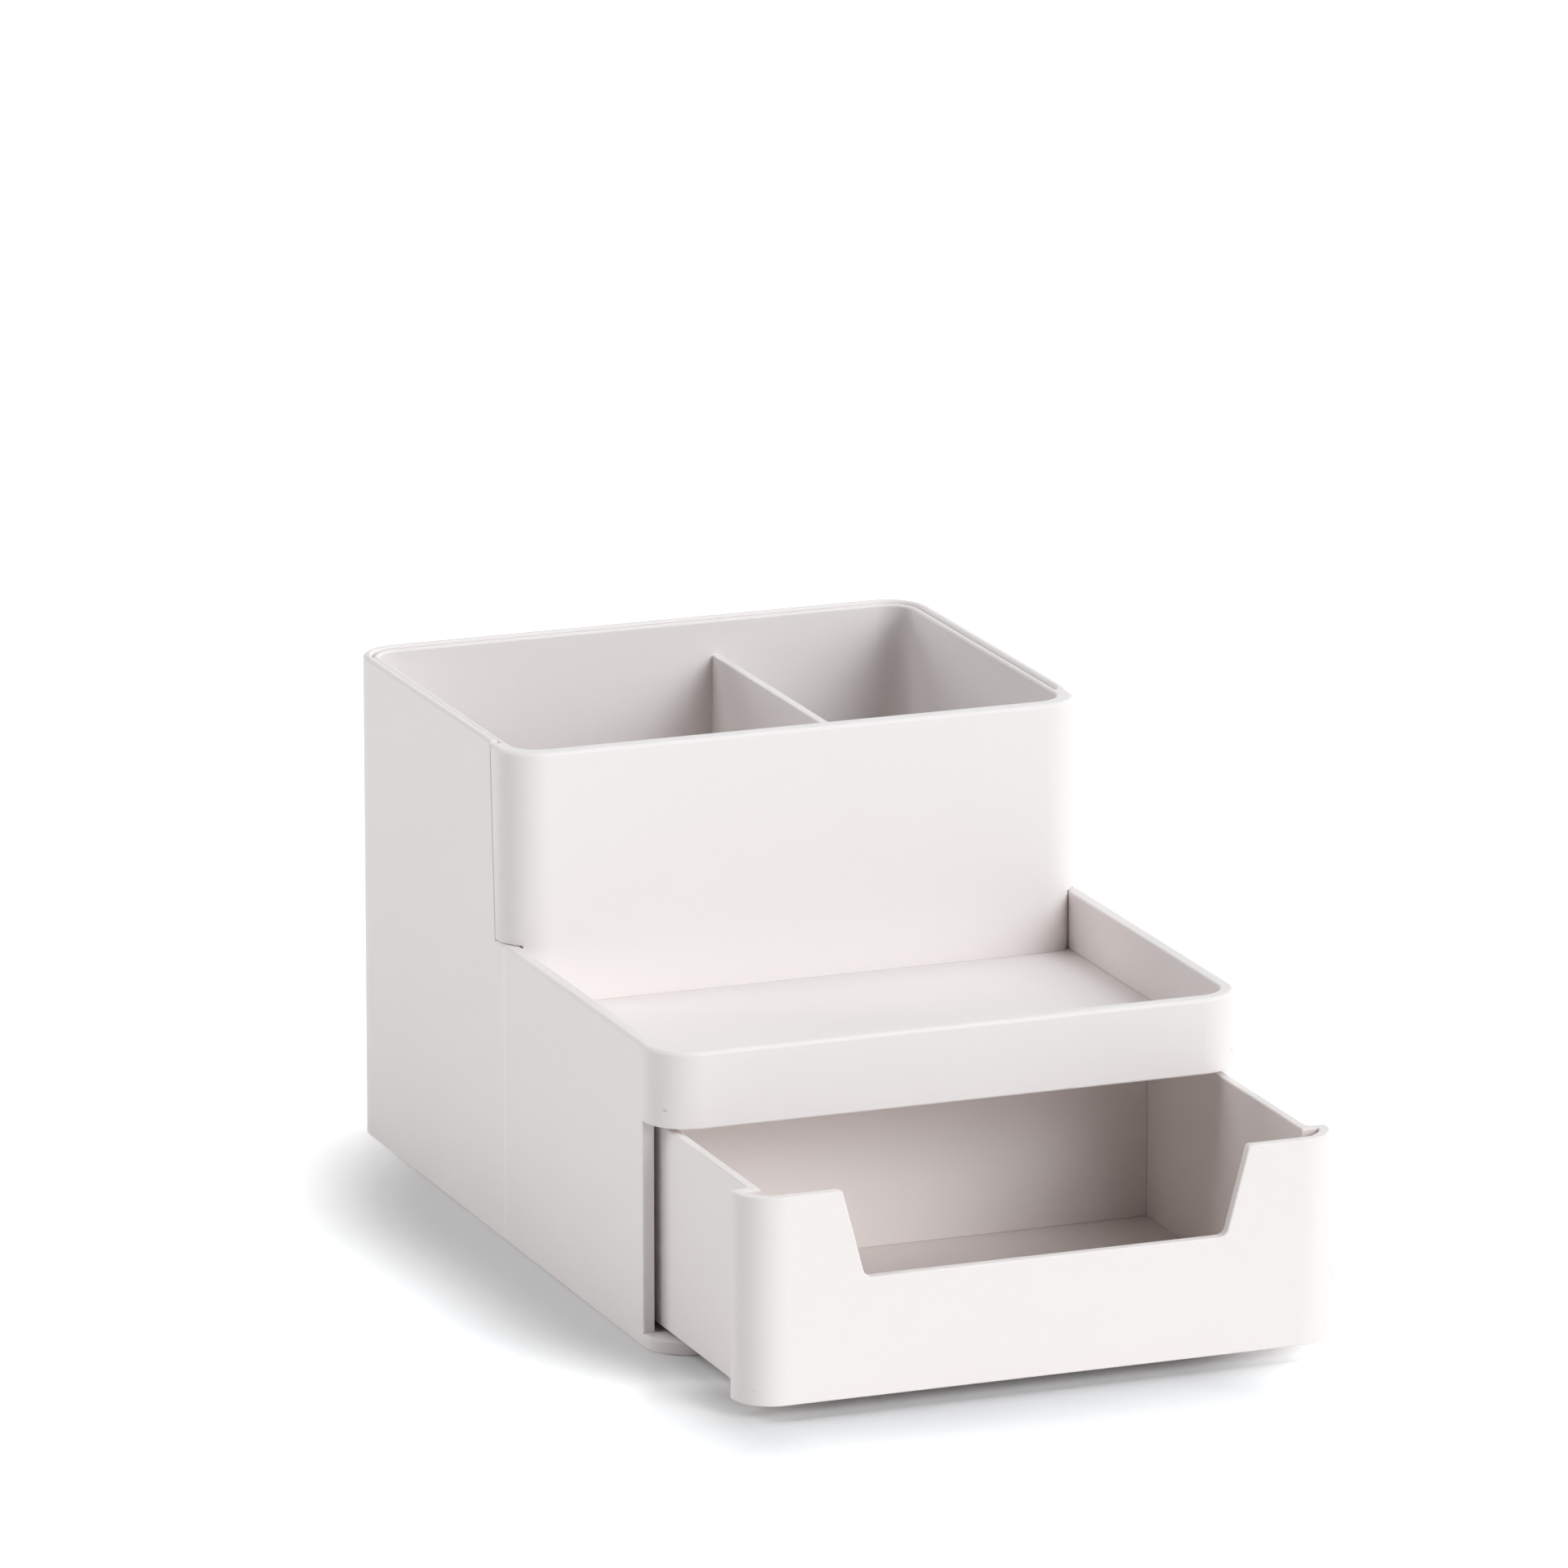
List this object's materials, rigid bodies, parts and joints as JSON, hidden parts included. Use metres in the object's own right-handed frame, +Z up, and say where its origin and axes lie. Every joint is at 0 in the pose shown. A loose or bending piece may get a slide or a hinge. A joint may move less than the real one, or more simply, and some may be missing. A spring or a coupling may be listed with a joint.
{
  "type": "desk organizer",
  "caption": "Two-tier desk organizer with a divided lift-out pen cup at the rear, an open tray in front and a notched drawer below.",
  "frame": {"origin": "middle of the housing's footprint, on the surface that it stands on", "axes": "+Z up, -Y towards the drawer's front, +X to the right as seen from the front"},
  "size_m": [0.13, 0.2345, 0.1065],
  "materials": {
    "housing_plastic": "fine satin moulded surface",
    "cup_plastic": "fine satin moulded surface",
    "drawer_plastic": "fine satin moulded surface",
    "pad_silicone": "matte"
  },
  "bodies": {
    "housing_body": {"housing": "housing_plastic", "pad_front_left": "pad_silicone", "pad_front_right": "pad_silicone", "pad_back_left": "pad_silicone", "pad_back_right": "pad_silicone"},
    "pen_cup_body": {"pen_cup": "cup_plastic"},
    "drawer_body": {"drawer": "drawer_plastic"}
  },
  "joints": [
    {"name": "drawer_slide", "type": "slide", "parent": "housing_body", "child": "drawer_body", "axis": [0, -1, 0], "range_m": [-0.0485, 0.0155]},
    {"name": "cup_lift", "type": "slide", "parent": "housing_body", "child": "pen_cup_body", "axis": [0, 0, 1], "range_m": [0, 0.1]}
  ]
}
